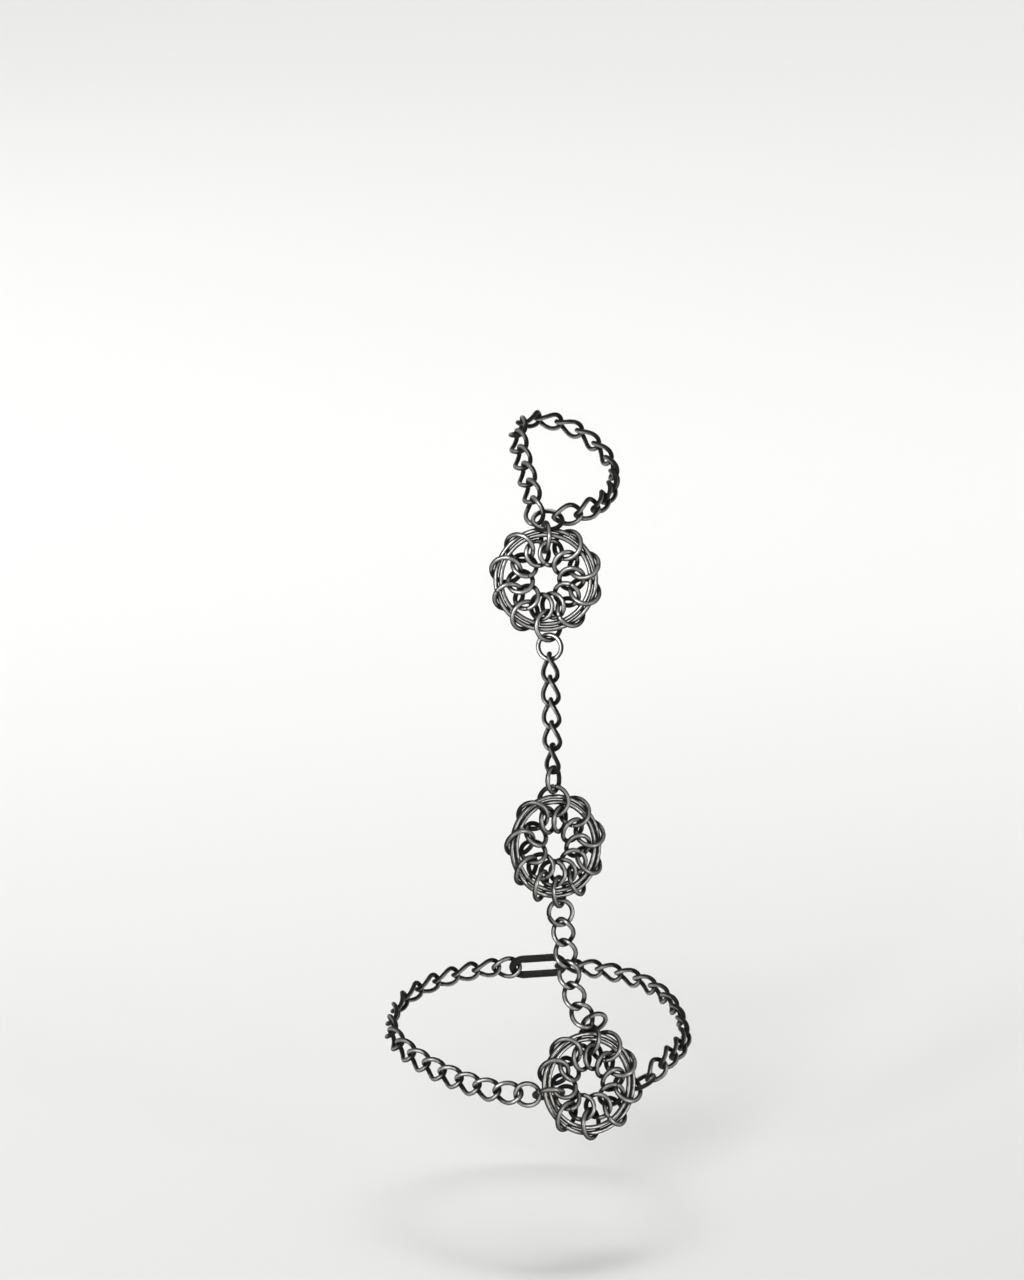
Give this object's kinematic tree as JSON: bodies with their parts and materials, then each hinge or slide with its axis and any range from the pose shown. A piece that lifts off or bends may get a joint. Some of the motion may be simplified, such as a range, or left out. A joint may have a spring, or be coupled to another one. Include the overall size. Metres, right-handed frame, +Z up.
{
  "type": "hand chain bracelet",
  "caption": "Hand chain bracelet of woven ring rosettes joined by curb chain, with a chain loop for the wrist and one for the middle finger, shown as worn.",
  "frame": {"origin": "the middle of the wrist loop, where the wrist goes through", "axes": "+Z up the hand towards the finger loop, +X to the right as the back of the hand is looked at, -Y out of the back of the hand"},
  "size_m": [0.0563, 0.0527, 0.1227],
  "materials": {
    "ring_steel": "antiqued bright wire, dark in the recesses",
    "hoop_steel": "antiqued bright wire, dark in the recesses",
    "chain_steel": "antiqued bright wire, dark in the recesses",
    "clasp_steel": "plain satin"
  },
  "bodies": {
    "root": {"top_outer_hoop": "hoop_steel", "top_inner_hoop": "hoop_steel", "top_wrap_ring_01": "ring_steel", "top_wrap_ring_02": "ring_steel", "top_wrap_ring_03": "ring_steel", "top_wrap_ring_04": "ring_steel", "top_wrap_ring_05": "ring_steel", "top_wrap_ring_06": "ring_steel", "top_wrap_ring_07": "ring_steel", "top_wrap_ring_08": "ring_steel", "top_wrap_ring_09": "ring_steel", "top_wrap_ring_10": "ring_steel", "top_centre_rings": "ring_steel", "middle_outer_hoop": "hoop_steel", "middle_inner_hoop": "hoop_steel", "middle_wrap_ring_01": "ring_steel", "middle_wrap_ring_02": "ring_steel", "middle_wrap_ring_03": "ring_steel", "middle_wrap_ring_04": "ring_steel", "middle_wrap_ring_05": "ring_steel", "middle_wrap_ring_06": "ring_steel", "middle_wrap_ring_07": "ring_steel", "middle_wrap_ring_08": "ring_steel", "middle_wrap_ring_09": "ring_steel", "middle_wrap_ring_10": "ring_steel", "middle_centre_rings": "ring_steel", "bottom_outer_hoop": "hoop_steel", "bottom_inner_hoop": "hoop_steel", "bottom_wrap_ring_01": "ring_steel", "bottom_wrap_ring_02": "ring_steel", "bottom_wrap_ring_03": "ring_steel", "bottom_wrap_ring_04": "ring_steel", "bottom_wrap_ring_05": "ring_steel", "bottom_wrap_ring_06": "ring_steel", "bottom_wrap_ring_07": "ring_steel", "bottom_wrap_ring_08": "ring_steel", "bottom_wrap_ring_09": "ring_steel", "bottom_wrap_ring_10": "ring_steel", "bottom_centre_rings": "ring_steel", "finger_ring": "ring_steel", "top_lower_jump_ring": "ring_steel", "middle_upper_jump_ring": "ring_steel", "middle_lower_jump_ring": "ring_steel", "bottom_upper_jump_ring": "ring_steel", "left_wrist_jump_ring": "ring_steel", "right_wrist_jump_ring": "ring_steel", "finger_chain": "chain_steel", "upper_hand_chain": "chain_steel", "lower_hand_chain": "chain_steel", "left_wrist_chain": "chain_steel", "right_wrist_chain": "chain_steel", "wrist_clasp": "clasp_steel"}
  },
  "joints": []
}
